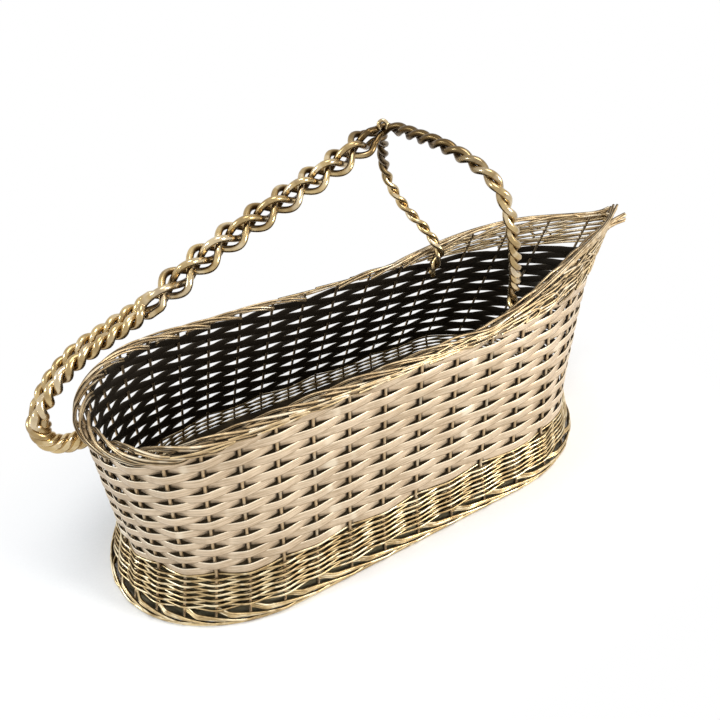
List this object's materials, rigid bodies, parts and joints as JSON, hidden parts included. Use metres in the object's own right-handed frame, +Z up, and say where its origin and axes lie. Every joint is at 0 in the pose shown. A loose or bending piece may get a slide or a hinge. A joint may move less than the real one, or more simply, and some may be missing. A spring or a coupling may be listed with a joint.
{
  "type": "wine bottle basket",
  "caption": "Woven metal basket that holds a wine bottle at a slant for pouring, with a flared foot, a pointed lip, a twisted hoop over the neck and a braided wire handle.",
  "frame": {"origin": "middle of the whole length and width, on the surface it stands on", "axes": "+X towards the pouring lip, +Y to the left when looking along +X, +Z up"},
  "size_m": [0.3032, 0.1202, 0.175],
  "materials": {
    "strip_metal": "satin, pale gold plate",
    "wire_metal": "satin, aged gold plate",
    "handle_metal": "polished, aged gold plate with dark hollows",
    "plate_metal": "satin, darkened"
  },
  "bodies": {
    "root": {"weave_strip_01": "strip_metal", "weave_strip_02": "strip_metal", "weave_strip_03": "strip_metal", "weave_strip_04": "strip_metal", "weave_strip_05": "strip_metal", "weave_strip_06": "strip_metal", "weave_strip_07": "strip_metal", "weave_strip_08": "strip_metal", "weave_strip_09": "strip_metal", "weave_strip_10": "strip_metal", "weave_strip_11": "strip_metal", "weave_strip_12": "strip_metal", "weave_strip_13": "strip_metal", "weave_strip_14": "strip_metal", "weave_strip_15": "strip_metal", "weave_strip_16": "strip_metal", "weave_strip_17": "strip_metal", "lip_strip_1": "strip_metal", "lip_strip_2": "strip_metal", "lip_strip_3": "strip_metal", "lip_strip_4": "strip_metal", "lip_strip_5": "strip_metal", "skirt_wire_01": "wire_metal", "skirt_wire_02": "wire_metal", "skirt_wire_03": "wire_metal", "skirt_wire_04": "wire_metal", "skirt_wire_05": "wire_metal", "skirt_wire_06": "wire_metal", "skirt_wire_07": "wire_metal", "skirt_wire_08": "wire_metal", "skirt_wire_09": "wire_metal", "foot_wire_1": "wire_metal", "foot_wire_2": "wire_metal", "border_wire_1": "wire_metal", "border_wire_2": "wire_metal", "border_wire_3": "wire_metal", "stake_frame": "wire_metal", "handle_strand_1": "handle_metal", "handle_strand_2": "handle_metal", "handle_strand_3": "handle_metal", "handle_strand_4": "handle_metal", "floor_plate": "plate_metal"}
  },
  "joints": []
}
